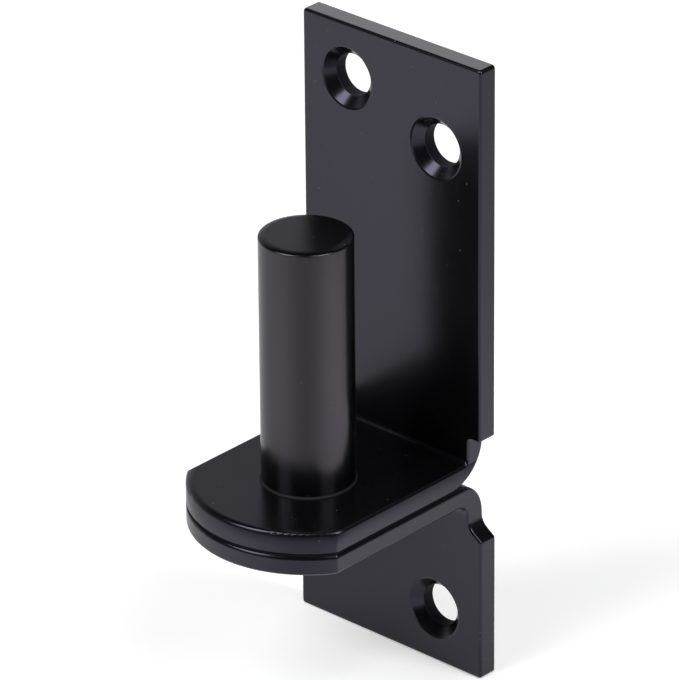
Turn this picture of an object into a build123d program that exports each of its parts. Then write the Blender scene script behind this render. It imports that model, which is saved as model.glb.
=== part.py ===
import os
from math import radians, tan

from build123d import *

# A gate hinge pin riveted to two bent plates, in millimetres.
# The origin is on the pin's axis, at the top face of the shelf. +X runs across the plates,
# +Y points back to the post and +Z points up along the pin.

# Plates, cut and bent from one stock. Their tongues lie together and make the shelf.
plate_width = 40.0
plate_thickness = 3.9
rise_above_shelf = 74.1
drop_below_shelf = 40.9
lower_plate_width = 41.9      # the lower plate is a little wider, all to the left
lower_plate_offset = 0.75     # from the shelf's middle to the lower plate's, on the left
pin_setback = 25.2            # from the pin's axis to the plates' back faces
tongue_inset = 2.7            # from the plate's side to the tongue's side
nose_radius = 20.9            # the shelf's round front, struck about the pin's axis
nose_corner_radius = 0.8      # where the round front meets the tongue's straight sides
corner_radius = 0.65          # the plates' corners, seen from the front
edge_rounding = 0.5           # the edges that the press rolled over as it cut the plates out
edge_break = 0.32             # the edges on the side that it cut through last, only broken
upper_inner_bend_radius = 1.0
upper_outer_bend_radius = 8.1
lower_inner_bend_radius = 2.6
lower_outer_bend_radius = 6.4

# Shoulders, where each plate's full width narrows to its tongue
upper_shoulder_height = 4.9   # above the shelf's top face
upper_shoulder_radius = 0.6
lower_shoulder_depth = 14.25  # below the shelf's top face, at the plate's side
lower_shoulder_radius = 2.6
lower_shoulder_corner_radius = 0.55
lower_shoulder_slope = 35.0   # degrees, falling from the tongue to the plate's right side

# Screw holes, countersunk from the front
screw_hole_diameter = 7.6
countersink_diameter = 11.2
countersink_angle = 90.0
countersink_break = 0.2       # the countersink's rim, broken and softened by the coating
hole_from_side = 10.0
lower_hole_from_side = 10.7
left_hole_from_top = 10.0
right_hole_from_top = 17.0
lower_hole_from_bottom = 10.2

# Pin, turned from bar, with a thinner shank that is riveted over under the shelf
pin_diameter = 16.2           # a 16 mm bar and its coating
pin_height = 45.8
pin_top_rounding_width = 1.3  # the turned lead on the pin's top, which the coating softens
pin_top_rounding_height = 0.5
foot_flare = 0.25             # the coating that fills the corner between pin and shelf
foot_land = 0.08              # the height of the flare's edge, where it meets the shelf
shank_diameter = 12.0
rivet_clearance = 0.05
rivet_seat_diameter = 16.0    # the countersink for the rivet's head, in the shelf's underside
rivet_seat_angle = 90.0
rivet_head_height = 0.9       # how far the pressed head stands out under the shelf
rivet_head_bevel = 1.6        # how far its rim slopes in

match = 1e-4                  # how closely a face or a corner has to agree with the size that picks it

# Places that follow from the sizes above
back = pin_setback
front = back - plate_thickness
seam = -plate_thickness       # the level where the two tongues meet
underside = seam - plate_thickness
plate_side = plate_width / 2
tongue_side = plate_side - tongue_inset
hole_across = plate_side - hole_from_side
lower_left_side = -lower_plate_offset - lower_plate_width / 2
lower_right_side = lower_plate_width / 2 - lower_plate_offset
lower_hole_across = lower_right_side - lower_hole_from_side
lower_neck = (lower_right_side - tongue_side) * tan(radians(lower_shoulder_slope)) - lower_shoulder_depth
pin_radius = pin_diameter / 2
shank_radius = shank_diameter / 2
shank_hole_radius = shank_radius + rivet_clearance
rivet_seat_radius = rivet_seat_diameter / 2
rivet_seat_depth = (rivet_seat_radius - shank_hole_radius) / tan(radians(rivet_seat_angle / 2))
rivet_head_radius = rivet_seat_radius - rivet_clearance
front_plane = Plane.XZ.offset(-front)
underside_plane = Plane((0, 0, underside), z_dir=(0, 0, -1))
reach = 2 * (rise_above_shelf + drop_below_shelf)   # more than any cut has to pass through


def rim(skin):
    """The edges around a skin of joined faces, each of which belongs to one of them only."""
    edges = ShapeList(edge for face in skin for edge in face.edges())
    return ShapeList(edge for edge in edges if edges.count(edge) == 1)


def plate_skin(plate, wall_place, tongue_level, bend_radius):
    """One side of a bent plate: its wall's face, its tongue's face and the bend between them."""
    wall = plate.faces().filter_by(Plane.XZ).filter_by_position(Axis.Y, wall_place, wall_place)
    tongue = plate.faces().filter_by(Plane.XY).filter_by_position(Axis.Z, tongue_level, tongue_level)
    bend = plate.faces().filter_by(GeomType.CYLINDER).filter_by(
        lambda face: abs(face.radius - bend_radius) < match
        and abs(face.axis_of_rotation.direction.X) > 1 - match
    )
    return wall + tongue + bend


def countersink_rims(plate):
    """The circles where the screw holes' countersinks open in the wall's front face."""
    circles = plate.edges().filter_by(GeomType.CIRCLE).filter_by_position(Axis.Y, front, front)
    return circles.filter_by(lambda edge: abs(edge.radius - countersink_diameter / 2) < match)


# Plan of the shelf, seen from above, with the slot between the walls' two faces
with BuildSketch() as plan:
    Circle(nose_radius)
    Rectangle(2 * tongue_side, 2 * nose_radius, mode=Mode.INTERSECT)
    fillet(plan.vertices().group_by(Axis.Y)[0], radius=nose_corner_radius)
    with Locations((0, back / 2)):
        Rectangle(2 * tongue_side, back)
    with Locations((0, back - plate_thickness / 2)):
        Rectangle(reach, plate_thickness)

# Upper plate: a tall wall against the post, bent forward at its foot into the shelf's upper layer
with BuildPart() as upper_plate:
    with BuildSketch(Plane.YZ) as upper_section:
        with BuildLine():
            Polyline(
                (back, seam),
                (back, rise_above_shelf),
                (front, rise_above_shelf),
                (front, 0),
                (-nose_radius, 0),
                (-nose_radius, seam),
                close=True,
            )
        make_face()
        fillet(upper_section.vertices().sort_by_distance((front, 0))[0], radius=upper_inner_bend_radius)
        fillet(upper_section.vertices().sort_by_distance((back, seam))[0], radius=upper_outer_bend_radius)
    extrude(amount=plate_side, both=True)
    with BuildSketch(Plane.XZ) as upper_outline:
        with Locations((0, (rise_above_shelf + upper_shoulder_height) / 2)):
            Rectangle(plate_width, rise_above_shelf - upper_shoulder_height)
        fillet(upper_outline.vertices(), radius=corner_radius)
        with Locations((0, (rise_above_shelf + seam) / 2)):
            Rectangle(2 * tongue_side, rise_above_shelf - seam)
        fillet(
            upper_outline.vertices().filter_by(
                lambda corner: abs(abs(corner.X) - tongue_side) < match
                and abs(corner.Y - upper_shoulder_height) < match
            ),
            radius=upper_shoulder_radius,
        )
    extrude(amount=reach, both=True, mode=Mode.INTERSECT)
    extrude(plan.sketch, amount=reach, both=True, mode=Mode.INTERSECT)
    fillet(rim(plate_skin(upper_plate, front, 0, upper_inner_bend_radius)), radius=edge_rounding)
    chamfer(rim(plate_skin(upper_plate, back, seam, upper_outer_bend_radius)), length=edge_break)
    Hole(radius=shank_hole_radius, depth=plate_thickness)
    with Locations(front_plane):
        with Locations(
            (-hole_across, rise_above_shelf - left_hole_from_top),
            (hole_across, rise_above_shelf - right_hole_from_top),
        ):
            CounterSinkHole(
                radius=screw_hole_diameter / 2,
                counter_sink_radius=countersink_diameter / 2,
                depth=plate_thickness,
                counter_sink_angle=countersink_angle,
            )
    chamfer(countersink_rims(upper_plate), length=countersink_break)
upper_plate.part.label = "upper_plate"

# Lower plate: a short wall against the post, bent forward at its head into the shelf's lower layer
with BuildPart() as lower_plate:
    with BuildSketch(Plane.YZ) as lower_section:
        with BuildLine():
            Polyline(
                (back, seam),
                (back, -drop_below_shelf),
                (front, -drop_below_shelf),
                (front, underside),
                (-nose_radius, underside),
                (-nose_radius, seam),
                close=True,
            )
        make_face()
        fillet(
            lower_section.vertices().sort_by_distance((front, underside))[0],
            radius=lower_inner_bend_radius,
        )
        fillet(lower_section.vertices().sort_by_distance((back, seam))[0], radius=lower_outer_bend_radius)
    extrude(amount=reach, both=True)
    with BuildSketch(Plane.XZ) as lower_outline:
        with BuildLine():
            Polyline(
                (-tongue_side, seam),
                (tongue_side, seam),
                (tongue_side, lower_neck),
                (lower_right_side, -lower_shoulder_depth),
                (lower_right_side, -drop_below_shelf),
                (lower_left_side, -drop_below_shelf),
                (lower_left_side, -lower_shoulder_depth),
                (-tongue_side, lower_neck),
                close=True,
            )
        make_face()
        fillet(
            lower_outline.vertices().filter_by_position(Axis.Y, lower_neck, lower_neck),
            radius=lower_shoulder_radius,
        )
        fillet(
            lower_outline.vertices().filter_by_position(Axis.Y, -lower_shoulder_depth, -lower_shoulder_depth),
            radius=lower_shoulder_corner_radius,
        )
        fillet(lower_outline.vertices().group_by(Axis.Y)[0], radius=corner_radius)
    extrude(amount=reach, both=True, mode=Mode.INTERSECT)
    extrude(plan.sketch, amount=reach, both=True, mode=Mode.INTERSECT)
    fillet(rim(plate_skin(lower_plate, front, underside, lower_inner_bend_radius)), radius=edge_rounding)
    chamfer(rim(plate_skin(lower_plate, back, seam, lower_outer_bend_radius)), length=edge_break)
    with Locations(underside_plane):
        CounterSinkHole(
            radius=shank_hole_radius,
            counter_sink_radius=rivet_seat_radius,
            depth=plate_thickness,
            counter_sink_angle=rivet_seat_angle,
        )
    with Locations(front_plane):
        with Locations((lower_hole_across, lower_hole_from_bottom - drop_below_shelf)):
            CounterSinkHole(
                radius=screw_hole_diameter / 2,
                counter_sink_radius=countersink_diameter / 2,
                depth=plate_thickness,
                counter_sink_angle=countersink_angle,
            )
    chamfer(countersink_rims(lower_plate), length=countersink_break)
lower_plate.part.label = "lower_plate"

# Pin: a straight round pin that seats on the shelf, with its shank riveted over below
with BuildPart() as pin:
    with BuildSketch(Plane.XZ) as pin_half:
        with BuildLine():
            Polyline(
                (0, underside - rivet_head_height),
                (rivet_head_radius - rivet_head_bevel, underside - rivet_head_height),
                (rivet_head_radius, underside),
                (shank_radius, underside + rivet_seat_depth),
                (shank_radius, 0),
                (pin_radius + foot_flare, 0),
                (pin_radius + foot_flare, foot_land),
                (pin_radius, foot_land + foot_flare),
                (pin_radius, pin_height - pin_top_rounding_height),
            )
            EllipticalCenterArc(
                (pin_radius - pin_top_rounding_width, pin_height - pin_top_rounding_height),
                x_radius=pin_top_rounding_width,
                y_radius=pin_top_rounding_height,
                arc_size=90,
            )
            Polyline(
                (pin_radius - pin_top_rounding_width, pin_height),
                (0, pin_height),
                (0, underside - rivet_head_height),
            )
        make_face()
    revolve(axis=Axis.Z)
pin.part.label = "pin"

os.makedirs("parts", exist_ok=True)
export_step(upper_plate.part, "parts/upper_plate.step")
export_step(lower_plate.part, "parts/lower_plate.step")
export_step(pin.part, "parts/pin.step")
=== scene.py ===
# Gate hinge pin in satin black powder coat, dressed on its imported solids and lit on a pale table.
# It is laid out as a Blender add-on and run as a script. Everything is in metres, in the solids' own frame:
# the origin is on the pin's axis at the top face of the shelf, +Y points back to the post and +Z is up.

from math import cos, radians, sin

import bmesh
import bpy
from mathutils import Matrix, Vector


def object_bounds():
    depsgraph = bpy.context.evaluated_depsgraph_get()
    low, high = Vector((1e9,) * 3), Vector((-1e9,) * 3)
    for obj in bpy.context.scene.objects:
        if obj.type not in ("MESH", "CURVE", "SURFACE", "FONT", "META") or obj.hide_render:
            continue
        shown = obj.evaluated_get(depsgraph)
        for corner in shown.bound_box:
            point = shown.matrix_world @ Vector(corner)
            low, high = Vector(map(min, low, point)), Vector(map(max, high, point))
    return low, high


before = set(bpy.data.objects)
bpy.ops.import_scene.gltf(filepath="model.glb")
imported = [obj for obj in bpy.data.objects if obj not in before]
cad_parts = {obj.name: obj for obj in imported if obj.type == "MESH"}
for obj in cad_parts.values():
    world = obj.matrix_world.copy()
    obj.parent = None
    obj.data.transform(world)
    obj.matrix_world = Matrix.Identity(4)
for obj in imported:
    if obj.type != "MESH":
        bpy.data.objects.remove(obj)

bl_info = {
    "name": "Gate hinge pin",
    "version": (1, 0, 0),
    "blender": (4, 5, 0),
    "location": "3D View > Sidebar > Hinge pin",
    "description": "Coats the plates and the pin, and builds the table, lamps and camera",
    "category": "Object",
}

CAD_LOW, CAD_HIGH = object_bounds()
MM = 0.001

# Places on the solids, in mm
SCREW_HOLES = ((-10.0, 64.1), (10.0, 57.1), (9.5, -30.7))   # across and up
BORE_REACH = 3.95     # from a screw hole's middle to just past its wall
SEAM = -3.9           # the level where the shelf's two layers meet
SEAM_REACH = 0.25     # how far up and down from the seam the coat is dull
TONGUE_SIDE = 17.3    # from the shelf's middle to its sides
NOSE_RADIUS = 20.9    # the shelf's round front, about the pin's axis
NOSE_TOP_DEPTH = 1.0  # how far down the roll on the front's top face still shows
FOOT_REACH = 0.5      # how far up from the shelf the pin's coat is dull
TOP_MIDDLE = 2.0      # from the tall plate's back to the middle of its top edge

# The coat's nodes
DULL_FADE = 0.1       # in mm, over which dull coat turns satin
HOLD_FADE = 1.0       # in mm, over which a roll fades out below its floor
ROLL_POWER = 2.0      # a rolled edge falls back as the square of the way into it
FAR_FORWARD = -1.0    # in metres, well past the shelf's front
COAT_IOR = 1.5
PLATE_SHIFT, PIN_SHIFT = 0.0, 40.0   # in mm, so that the pin's clouds and nibs aren't the plates'

# The table and the room
TABLE_REACH = 3.0                    # from the part to the table's edges, in metres
CAMERA_GLOW = 0.36                   # of the table near the part, to the camera only
WHITE_FROM, WHITE_TO = 0.25, 1.3     # distances over which that glow grows to full white, in metres
ROOM_COLOURS = ((0.0, "#e6e6e8"), (0.45, "#a9a9ad"), (0.75, "#1c1c1e"))   # by height, from the horizon up
LIT_BELOW, DARK_ABOVE = -0.8, 0.1    # how far a direction points to the camera's side, from -1 to 1
DARK_STRENGTH = 0.12                 # of the room on the camera's side

# The lamps' and the pools' places: turns from the camera's side to its right, and distances in metres
SOFTBOX_LIFT = radians(48)
LEFT_TURN, RIGHT_TURN = radians(-60), radians(48)
FILL_SIZE, FILL_HEIGHT = 1.0, 1.2
TOP_LAMP_WIDTH, TOP_LAMP_HEIGHT, TOP_LAMP_DISTANCE = 0.07, 0.035, 0.06
# The pools are painted light: patches of glow on the table that only glossy rays see, not light cast by a
# lamp.
LEFT_POOL = (radians(-58), 0.14, 0.125)   # turn, distance and radius
RIGHT_POOL = (radians(58), 0.14, 0.135)
FAR_POOL = (radians(-90), 0.24, 0.12)
FOOT_POOL = (0.0, 0.0, 0.07)

# The camera
SENSOR_WIDTH = 36.0                  # in mm
CLIP_START, CLIP_END = 0.1, 20.0     # in metres


def linear(hex_colour):
    """An sRGB hex colour as linear red, green, blue and alpha."""
    channels = [int(hex_colour[place:place + 2], 16) / 255 for place in (1, 3, 5)]
    return [c / 12.92 if c <= 0.04045 else ((c + 0.055) / 1.055) ** 2.4 for c in channels] + [1.0]


def add_node(tree, kind, settings=None, links=None):
    """Adds a node, sets its options and inputs, and feeds its inputs from other nodes' outputs."""
    node = tree.nodes.new(kind)
    for name, value in (settings or {}).items():
        if isinstance(name, int) or name in node.inputs:
            node.inputs[name].default_value = value
        else:
            setattr(node, name, value)
    for name, source in (links or {}).items():
        tree.links.new(source, node.inputs[name])
    return node


def new_material(name):
    """An empty node material, and the tree to build it in."""
    material = bpy.data.materials.new(name)
    material.use_nodes = True
    material.node_tree.nodes.clear()
    return material, material.node_tree


def roll_edges(tree, coords, relief, rolled_edges):
    """Shades edges as if they fell back, upwards or outwards from the pin's axis. Outwards counts only over
    the shelf's front half: all behind it is folded onto its straight back edge, so it has no such roll."""
    up = add_node(tree, "ShaderNodeSeparateXYZ", links={"Vector": coords}).outputs["Z"]
    plan = add_node(
        tree, "ShaderNodeVectorMath", {"operation": "MAXIMUM", 1: (-TONGUE_SIDE * MM, FAR_FORWARD, 0)},
        {0: coords},
    ).outputs["Vector"]
    plan = add_node(
        tree, "ShaderNodeVectorMath", {"operation": "MINIMUM", 1: (TONGUE_SIDE * MM, 0, 0)}, {0: plan}
    ).outputs["Vector"]
    outward = add_node(tree, "ShaderNodeVectorMath", {"operation": "LENGTH"}, {0: plan}).outputs["Value"]
    for way, low, high, drop, floor in rolled_edges:
        rise = add_node(
            tree, "ShaderNodeMapRange", {"From Min": low, "From Max": high},
            {"Value": up if way == "up" else outward},
        ).outputs["Result"]
        curve = add_node(
            tree, "ShaderNodeMath", {"operation": "POWER", 1: ROLL_POWER}, {0: rise}
        ).outputs["Value"]
        hold = add_node(
            tree, "ShaderNodeMapRange", {"From Min": floor - HOLD_FADE * MM, "From Max": floor},
            {"Value": up},
        ).outputs["Result"]
        relief = add_node(
            tree, "ShaderNodeBump", {"invert": True, "Distance": drop},
            {"Strength": hold, "Height": curve, "Normal": relief},
        ).outputs["Normal"]
    return relief


# Satin black polyester powder coat, sprayed dry on steel and baked. The melt levels into a closed skin with
# a faint orange peel, which gives soft-edged reflections, and a few grains of dust stay in it as pale nibs.
# The charged powder reaches bores and inside corners badly, so the coat lies thin and dull there.
# Under it, the press rolled the sheared plates' edges over, which darkens the shelf's sides towards their
# tops and gives the rim of its round front a soft highlight.
def satin_black_powder_coat(name, coat, tint, shift, dull_places, rolled_edges):
    material, tree = new_material(name)
    coords = add_node(tree, "ShaderNodeTexCoord").outputs["Object"]
    in_mm = add_node(
        tree, "ShaderNodeMapping", {"Location": (shift,) * 3, "Scale": (1 / MM,) * 3}, {"Vector": coords},
    ).outputs["Vector"]
    # Cloudy thickness of the coat, over a centimetre or so
    cloud = add_node(
        tree, "ShaderNodeTexNoise", {"Scale": MM / coat.cloud_size, "Detail": 2.0, "Roughness": 0.5},
        {"Vector": in_mm},
    ).outputs["Fac"]
    # Orange peel, as wide as the melt's surface tension leaves it
    peel = add_node(
        tree, "ShaderNodeTexNoise", {"Scale": MM / coat.peel_size, "Detail": 1.0, "Roughness": 0.4},
        {"Vector": in_mm},
    ).outputs["Fac"]
    # Dust nibs: the few cells' centres that happen to lie in the surface
    nib_distance = add_node(
        tree, "ShaderNodeTexVoronoi", {"Scale": MM / coat.nib_spacing}, {"Vector": in_mm}
    ).outputs["Distance"]
    nib = add_node(
        tree, "ShaderNodeMapRange",
        {
            "interpolation_type": "SMOOTHSTEP",
            "From Min": coat.nib_size / coat.nib_spacing,
            "From Max": coat.nib_size / coat.nib_spacing / 3,
        },
        {"Value": nib_distance},
    ).outputs["Result"]
    black = add_node(
        tree, "ShaderNodeMix", {"data_type": "RGBA", 6: coat.colour, 7: coat.cloud_colour}, {0: cloud}
    ).outputs[2]
    colour = add_node(
        tree, "ShaderNodeMix", {"data_type": "RGBA", 7: coat.nib_colour}, {0: nib, 6: black}
    ).outputs[2]
    gloss = add_node(
        tree, "ShaderNodeMapRange",
        {
            "To Min": coat.roughness - coat.roughness_spread,
            "To Max": coat.roughness + coat.roughness_spread,
        },
        {"Value": cloud},
    ).outputs["Result"]
    for across, centre, radius in dull_places:
        flattened = add_node(
            tree, "ShaderNodeVectorMath", {"operation": "MULTIPLY", 1: across}, {0: coords}
        ).outputs["Vector"]
        away = add_node(
            tree, "ShaderNodeVectorMath", {"operation": "DISTANCE", 1: centre}, {0: flattened}
        ).outputs["Value"]
        gloss = add_node(
            tree, "ShaderNodeMapRange",
            {
                "interpolation_type": "SMOOTHSTEP",
                "From Min": radius - DULL_FADE * MM, "From Max": radius, "To Min": coat.dull_roughness,
            },
            {"Value": away, "To Max": gloss},
        ).outputs["Result"]
    relief = add_node(
        tree, "ShaderNodeBump", {"Strength": 1.0, "Distance": coat.peel_depth}, {"Height": peel}
    ).outputs["Normal"]
    relief = add_node(
        tree, "ShaderNodeBump", {"Strength": 1.0, "Distance": coat.nib_height},
        {"Height": nib, "Normal": relief},
    ).outputs["Normal"]
    if rolled_edges:
        relief = roll_edges(tree, coords, relief, rolled_edges)
    shader = add_node(
        tree, "ShaderNodeBsdfPrincipled", {"Metallic": 0.0, "IOR": COAT_IOR, "Specular Tint": tint},
        {"Base Color": colour, "Roughness": gloss, "Normal": relief},
    )
    add_node(tree, "ShaderNodeOutputMaterial", links={"Surface": shader.outputs["BSDF"]})
    return material


class HingePinCoat(bpy.types.PropertyGroup):
    """The powder coat on the plates and the pin."""

    colour: bpy.props.FloatVectorProperty(
        name="Colour", description="The coat where it lies thickest", subtype="COLOR", size=4,
        min=0, max=1, default=linear("#050506"),
    )
    cloud_colour: bpy.props.FloatVectorProperty(
        name="Cloud colour", description="The coat where it lies thinner", subtype="COLOR", size=4,
        min=0, max=1, default=linear("#08080a"),
    )
    cloud_size: bpy.props.FloatProperty(
        name="Cloud size", description="Width of the slow changes in the coat", unit="LENGTH",
        default=12 * MM,
    )
    roughness: bpy.props.FloatProperty(
        name="Roughness", description="How satin the coat is", subtype="FACTOR", min=0, max=1, default=0.23,
    )
    plate_tint: bpy.props.FloatVectorProperty(
        name="Plates' gloss tint", description="The violet cast of the plates' gloss", subtype="COLOR",
        size=4, min=0, max=1, default=linear("#e5deff"),
    )
    pin_tint: bpy.props.FloatVectorProperty(
        name="Pin's gloss tint", description="The fainter cast of the pin's gloss", subtype="COLOR", size=4,
        min=0, max=1, default=linear("#f5edfb"),
    )
    dull_roughness: bpy.props.FloatProperty(
        name="Dull roughness", description="The thin coat in the bores, in the seam and at the pin's foot",
        subtype="FACTOR", min=0, max=1, default=0.8,
    )
    roughness_spread: bpy.props.FloatProperty(
        name="Roughness spread", description="How far the roughness wanders with the clouds",
        subtype="FACTOR", min=0, max=0.2, default=0.03,
    )
    peel_size: bpy.props.FloatProperty(
        name="Orange peel size", description="Width of one dimple", unit="LENGTH", default=1.8 * MM,
    )
    peel_depth: bpy.props.FloatProperty(
        name="Orange peel depth", description="Depth of the dimples", unit="LENGTH", default=0.008 * MM,
    )
    upper_roll_width: bpy.props.FloatProperty(
        name="Upper roll width", description="How far down the shelf's upper layer is rolled over",
        unit="LENGTH", default=3.9 * MM,
    )
    lower_roll_width: bpy.props.FloatProperty(
        name="Lower roll width", description="How far down the shelf's lower layer is rolled over",
        unit="LENGTH", default=1.2 * MM,
    )
    nose_roll_width: bpy.props.FloatProperty(
        name="Nose roll width", description="How far in the top of the shelf's front is rolled over",
        unit="LENGTH", default=1.5 * MM,
    )
    roll_drop: bpy.props.FloatProperty(
        name="Roll drop", description="How far the upper layer's edges fall back", unit="LENGTH",
        default=0.58 * MM,
    )
    lower_roll_drop: bpy.props.FloatProperty(
        name="Lower roll drop", description="How far the lower layer's edges fall back", unit="LENGTH",
        default=0.68 * MM,
    )
    nib_spacing: bpy.props.FloatProperty(
        name="Nib spacing", description="Size of the cells that hold one nib each", unit="LENGTH",
        default=2.7 * MM,
    )
    nib_size: bpy.props.FloatProperty(
        name="Nib size", description="Radius of the largest nib", unit="LENGTH", default=0.17 * MM,
    )
    nib_height: bpy.props.FloatProperty(
        name="Nib height", description="How far a nib stands out", unit="LENGTH", default=0.02 * MM,
    )
    nib_colour: bpy.props.FloatVectorProperty(
        name="Nib colour", description="The dust in the coat", subtype="COLOR", size=4, min=0, max=1,
        default=linear("#48484c"),
    )


class HingePinStage(bpy.types.PropertyGroup):
    """The table, the lamps and the camera."""

    azimuth: bpy.props.FloatProperty(
        name="Azimuth", description="How far the camera stands round to the right", subtype="ANGLE",
        default=radians(42.567),
    )
    elevation: bpy.props.FloatProperty(
        name="Elevation", description="How far the camera looks down", subtype="ANGLE",
        default=radians(26.61),
    )
    roll: bpy.props.FloatProperty(
        name="Roll", description="How far the camera leans", subtype="ANGLE", default=radians(-0.496),
    )
    distance: bpy.props.FloatProperty(
        name="Distance", description="From the camera to the point that it looks at", unit="LENGTH",
        default=1.1498,
    )
    target: bpy.props.FloatVectorProperty(
        name="Target", description="The point that the camera looks at", subtype="TRANSLATION",
        default=(-6.46 * MM, 15.2 * MM, 18.15 * MM),
    )
    lens: bpy.props.FloatProperty(
        name="Focal length", description="Focal length on a 36 mm wide sensor", subtype="DISTANCE_CAMERA",
        default=356.9,
    )
    table_colour: bpy.props.FloatVectorProperty(
        name="Table colour", description="The matte table top", subtype="COLOR", size=4, min=0, max=1,
        default=linear("#f0f0f0"),
    )
    # Strengths of the painted pools of light: glow on the table that only the coat's gloss sees.
    left_pool: bpy.props.FloatProperty(
        name="Left pool", description="How bright the left pool looks in the coat's gloss", default=0.65,
    )
    right_pool: bpy.props.FloatProperty(
        name="Right pool", description="How bright the right pool looks in the coat's gloss", default=1.0,
    )
    far_pool: bpy.props.FloatProperty(
        name="Far pool", description="How bright the pool that the tall plate mirrors looks", default=0.35,
    )
    foot_pool: bpy.props.FloatProperty(
        name="Foot pool", description="How bright the pool under the short plate looks", default=0.3,
    )
    lamp_width: bpy.props.FloatProperty(
        name="Softbox width", description="Width of each softbox", unit="LENGTH", default=0.46,
    )
    lamp_height: bpy.props.FloatProperty(
        name="Softbox height", description="Height of each softbox", unit="LENGTH", default=0.7,
    )
    lamp_distance: bpy.props.FloatProperty(
        name="Softbox distance", description="From each softbox to the part", unit="LENGTH", default=0.95,
    )
    left_lamp: bpy.props.FloatProperty(
        name="Left softbox", description="Power of the left softbox", unit="POWER", default=6.6,
    )
    right_lamp: bpy.props.FloatProperty(
        name="Right softbox", description="Power of the right softbox", unit="POWER", default=6.0,
    )
    fill_lamp: bpy.props.FloatProperty(
        name="Fill lamp", description="Power of the lamp overhead, which doesn't show in gloss",
        unit="POWER", default=2.0,
    )
    top_lamp: bpy.props.FloatProperty(
        name="Top lamp", description="Power of the small lamp that lights the upper plate's top edge",
        unit="POWER", default=0.0088,
    )


def assign_material(node, material):
    """Puts a material in a solid's own slot."""
    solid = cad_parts[node]
    solid.data.materials.clear()
    solid.data.materials.append(material)


class HINGEPIN_OT_coat_plates(bpy.types.Operator):
    """Coats the upper and the lower plate"""

    bl_idname = "hinge_pin.coat_plates"
    bl_label = "Coat the plates"

    def execute(self, context):
        coat = context.scene.hinge_pin_coat
        # The axes that count, the middle and the reach of each dull place
        dull_places = [
            ((1, 0, 1), Vector((across, 0, up)) * MM, BORE_REACH * MM) for across, up in SCREW_HOLES
        ]
        dull_places.append(((0, 0, 1), Vector((0, 0, SEAM)) * MM, SEAM_REACH * MM))
        # The way, start, end, drop and floor of each rolled edge
        seam, nose = SEAM * MM, NOSE_RADIUS * MM
        rolled_edges = [
            ("up", -coat.upper_roll_width, 0.0, coat.roll_drop, seam),
            ("up", seam - coat.lower_roll_width, seam, coat.lower_roll_drop, 2 * seam),
            ("outward", nose - coat.nose_roll_width, nose, coat.roll_drop, -NOSE_TOP_DEPTH * MM),
        ]
        material = satin_black_powder_coat(
            "satin black powder coat on steel plate", coat, coat.plate_tint, PLATE_SHIFT,
            dull_places, rolled_edges,
        )
        assign_material("upper_plate", material)
        assign_material("lower_plate", material)
        return {"FINISHED"}


class HINGEPIN_OT_coat_pin(bpy.types.Operator):
    """Coats the pin"""

    bl_idname = "hinge_pin.coat_pin"
    bl_label = "Coat the pin"

    def execute(self, context):
        coat = context.scene.hinge_pin_coat
        foot = ((0, 0, 1), Vector((0, 0, 0)), FOOT_REACH * MM)
        assign_material(
            "pin",
            satin_black_powder_coat(
                "satin black powder coat on turned steel", coat, coat.pin_tint, PIN_SHIFT, [foot], []
            ),
        )
        return {"FINISHED"}


def flat_piece(name, corners, material):
    """Adds a flat stage piece with these corners."""
    mesh = bpy.data.meshes.new(name)
    bm = bmesh.new()
    bm.faces.new([bm.verts.new(corner) for corner in corners])
    bm.to_mesh(mesh)
    bm.free()
    mesh.materials.append(material)
    piece = bpy.data.objects.new(name, mesh)
    bpy.context.scene.collection.objects.link(piece)


def table_paint(name, colour, pools):
    """Matte paint. A glow that grows with distance keeps it white to the camera, and painted pools of
    light, a glow that only glossy rays see, show on it in the coat's gloss."""
    material, tree = new_material(name)
    paint = add_node(tree, "ShaderNodeBsdfDiffuse", {"Color": colour}).outputs["BSDF"]
    path = add_node(tree, "ShaderNodeLightPath").outputs
    place = add_node(tree, "ShaderNodeTexCoord").outputs["Object"]
    distance = add_node(tree, "ShaderNodeVectorMath", {"operation": "LENGTH"}, {0: place}).outputs["Value"]
    whitening = add_node(
        tree, "ShaderNodeMapRange",
        {
            "interpolation_type": "SMOOTHSTEP",
            "From Min": WHITE_FROM, "From Max": WHITE_TO, "To Min": CAMERA_GLOW,
        },
        {"Value": distance},
    ).outputs["Result"]
    glow = add_node(
        tree, "ShaderNodeMath", {"operation": "MULTIPLY"}, {0: path["Is Camera Ray"], 1: whitening}
    ).outputs["Value"]
    # Each pool is painted light: a glow that only glossy rays see, so the coat mirrors a brighter table
    # there.
    for centre, radius, brightness in pools:
        away = add_node(
            tree, "ShaderNodeVectorMath", {"operation": "DISTANCE", 1: centre}, {0: place}
        ).outputs["Value"]
        pool = add_node(
            tree, "ShaderNodeMapRange",
            {"interpolation_type": "SMOOTHSTEP", "From Min": radius, "From Max": 0.0, "To Max": brightness},
            {"Value": away},
        ).outputs["Result"]
        glow = add_node(
            tree, "ShaderNodeMath", {"operation": "MULTIPLY_ADD"},
            {0: pool, 1: path["Is Glossy Ray"], 2: glow},
        ).outputs["Value"]
    light = add_node(tree, "ShaderNodeEmission", links={"Strength": glow}).outputs["Emission"]
    both = add_node(tree, "ShaderNodeAddShader", links={0: paint, 1: light}).outputs["Shader"]
    add_node(tree, "ShaderNodeOutputMaterial", links={"Surface": both})
    return material


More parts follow.
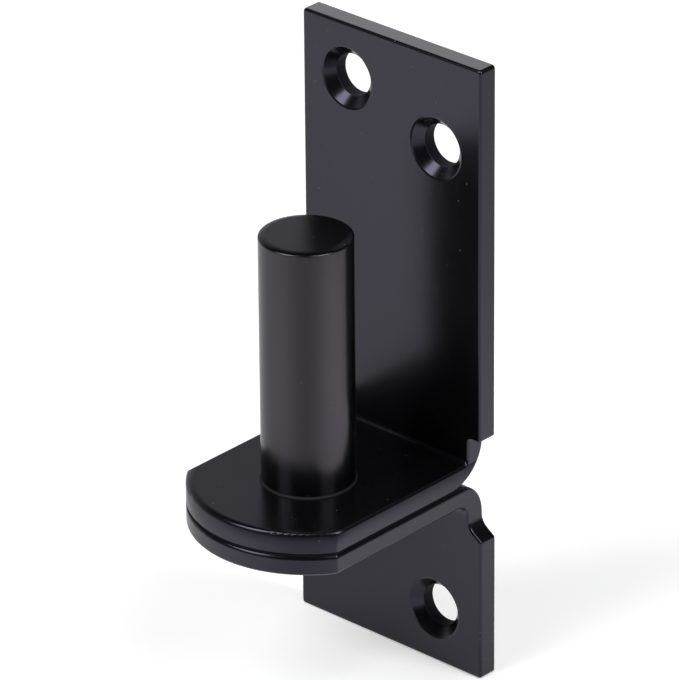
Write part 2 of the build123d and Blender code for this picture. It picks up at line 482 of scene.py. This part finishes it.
class HINGEPIN_OT_stage(bpy.types.Operator):
    """Builds the table, the room's light, the lamps and the camera"""

    bl_idname = "hinge_pin.stage"
    bl_label = "Build the stage"

    def execute(self, context):
        stage = context.scene.hinge_pin_stage
        facing = Vector((sin(stage.azimuth), -cos(stage.azimuth), 0))
        right = Vector((cos(stage.azimuth), sin(stage.azimuth), 0))
        table_top = Vector((0, 0, CAD_LOW.z))
        pools = [
            (facing * cos(turn) * along + right * sin(turn) * along + table_top, radius, brightness)
            for (turn, along, radius), brightness in (
                (LEFT_POOL, stage.left_pool),
                (RIGHT_POOL, stage.right_pool),
                (FAR_POOL, stage.far_pool),
                (FOOT_POOL, stage.foot_pool),
            )
        ]
        flat_piece(
            "table",
            [
                (x * TABLE_REACH, y * TABLE_REACH, table_top.z)
                for x, y in ((-1, -1), (1, -1), (1, 1), (-1, 1))
            ],
            table_paint("matte white table top", stage.table_colour, pools),
        )

        self.add_world(context, facing)
        for side, power, turn in (
            ("left", stage.left_lamp, LEFT_TURN), ("right", stage.right_lamp, RIGHT_TURN),
        ):
            level = facing * cos(turn) + right * sin(turn)
            outward = level * cos(SOFTBOX_LIFT) + Vector((0, 0, sin(SOFTBOX_LIFT)))
            self.add_lamp(
                context, f"softbox {side}", power, stage.lamp_width, stage.lamp_height,
                outward * stage.lamp_distance, outward,
            )
        overhead = Vector((0, 0, 1))
        fill = self.add_lamp(
            context, "fill lamp", stage.fill_lamp, FILL_SIZE, FILL_SIZE, overhead * FILL_HEIGHT, overhead
        )
        fill.visible_glossy = False

        # The tall plate's top edge mirrors a lamp of its own, which lights nothing but that plate
        top_edge = Vector((0, CAD_HIGH.y - TOP_MIDDLE * MM, CAD_HIGH.z))
        outward = Vector((0, 0, sin(stage.elevation))) - facing * cos(stage.elevation)
        lamp = self.add_lamp(
            context, "top edge lamp", stage.top_lamp, TOP_LAMP_WIDTH, TOP_LAMP_HEIGHT,
            top_edge + outward * TOP_LAMP_DISTANCE, outward,
        )
        lit = bpy.data.collections.new("lit by the top edge lamp")
        lit.objects.link(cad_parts["upper_plate"])
        lamp.light_linking.receiver_collection = lit

        self.add_camera(context, stage, facing, right)
        context.scene.view_settings.view_transform = "Standard"
        return {"FINISHED"}

    def add_lamp(self, context, name, power, width, height, place, outward):
        """A flat rectangular lamp that shines back along its outward direction."""
        light = bpy.data.lights.new(name, "AREA")
        light.shape = "RECTANGLE"
        light.size = width
        light.size_y = height
        light.energy = power
        lamp = bpy.data.objects.new(name, light)
        lamp.location = place
        lamp.rotation_euler = outward.to_track_quat("Z", "Y").to_euler()
        lamp.visible_camera = False
        context.scene.collection.objects.link(lamp)
        return lamp

    def add_world(self, context, facing):
        """A pale room that darkens towards its ceiling and behind the camera, which sees it plain white."""
        world = bpy.data.worlds.new("pale room")
        world.use_nodes = True
        tree = world.node_tree
        tree.nodes.clear()
        direction = add_node(tree, "ShaderNodeTexCoord").outputs["Generated"]
        height = add_node(tree, "ShaderNodeSeparateXYZ", links={"Vector": direction}).outputs["Z"]
        shade = add_node(tree, "ShaderNodeValToRGB", links={"Fac": height})
        stops = shade.color_ramp.elements
        stops.new(ROOM_COLOURS[1][0])
        for stop, (position, colour) in zip(stops, ROOM_COLOURS):
            stop.position, stop.color = position, linear(colour)
        toward_camera = add_node(
            tree, "ShaderNodeVectorMath", {"operation": "DOT_PRODUCT", 1: facing}, {0: direction}
        ).outputs["Value"]
        behind = add_node(
            tree, "ShaderNodeMapRange",
            {
                "interpolation_type": "SMOOTHSTEP",
                "From Min": DARK_ABOVE, "From Max": LIT_BELOW, "To Min": DARK_STRENGTH,
            },
            {"Value": toward_camera},
        ).outputs["Result"]
        room = add_node(
            tree, "ShaderNodeBackground", links={"Color": shade.outputs["Color"], "Strength": behind}
        ).outputs["Background"]
        white = add_node(tree, "ShaderNodeBackground", {"Color": (1, 1, 1, 1)}).outputs["Background"]
        seen = add_node(tree, "ShaderNodeLightPath").outputs["Is Camera Ray"]
        both = add_node(tree, "ShaderNodeMixShader", links={0: seen, 1: room, 2: white}).outputs["Shader"]
        add_node(tree, "ShaderNodeOutputWorld", links={"Surface": both})
        context.scene.world = world

    def add_camera(self, context, stage, facing, right):
        """The camera, at the photograph's angle."""
        back = facing * cos(stage.elevation) + Vector((0, 0, sin(stage.elevation)))
        up = back.cross(right)
        leaned_right = right * cos(stage.roll) + up * sin(stage.roll)
        leaned_up = up * cos(stage.roll) - right * sin(stage.roll)
        data = bpy.data.cameras.new("camera")
        data.sensor_width = SENSOR_WIDTH
        data.lens = stage.lens
        data.clip_start = CLIP_START
        data.clip_end = CLIP_END
        camera = bpy.data.objects.new("camera", data)
        turn = Matrix((leaned_right, leaned_up, back)).transposed().to_4x4()
        camera.matrix_world = Matrix.Translation(Vector(stage.target) + back * stage.distance) @ turn
        context.scene.collection.objects.link(camera)
        context.scene.camera = camera


class HINGEPIN_PT_panel(bpy.types.Panel):
    """Lists the coat's and the stage's settings, and the buttons that build them"""

    bl_label = "Gate hinge pin"
    bl_space_type = "VIEW_3D"
    bl_region_type = "UI"
    bl_category = "Hinge pin"

    def draw(self, context):
        for group in (context.scene.hinge_pin_coat, context.scene.hinge_pin_stage):
            column = self.layout.column()
            for name in group.bl_rna.properties.keys():
                if name not in ("rna_type", "name"):
                    column.prop(group, name)
        for operator in OPERATORS:
            self.layout.operator(operator.bl_idname)


OPERATORS = (HINGEPIN_OT_stage, HINGEPIN_OT_coat_plates, HINGEPIN_OT_coat_pin)
CLASSES = (HingePinCoat, HingePinStage, *OPERATORS, HINGEPIN_PT_panel)


def register():
    for cls in CLASSES:
        bpy.utils.register_class(cls)
    bpy.types.Scene.hinge_pin_coat = bpy.props.PointerProperty(type=HingePinCoat)
    bpy.types.Scene.hinge_pin_stage = bpy.props.PointerProperty(type=HingePinStage)


def unregister():
    del bpy.types.Scene.hinge_pin_stage
    del bpy.types.Scene.hinge_pin_coat
    for cls in reversed(CLASSES):
        bpy.utils.unregister_class(cls)


def main():
    register()
    bpy.ops.hinge_pin.stage()
    bpy.ops.hinge_pin.coat_plates()
    bpy.ops.hinge_pin.coat_pin()


if __name__ == "__main__":
    main()
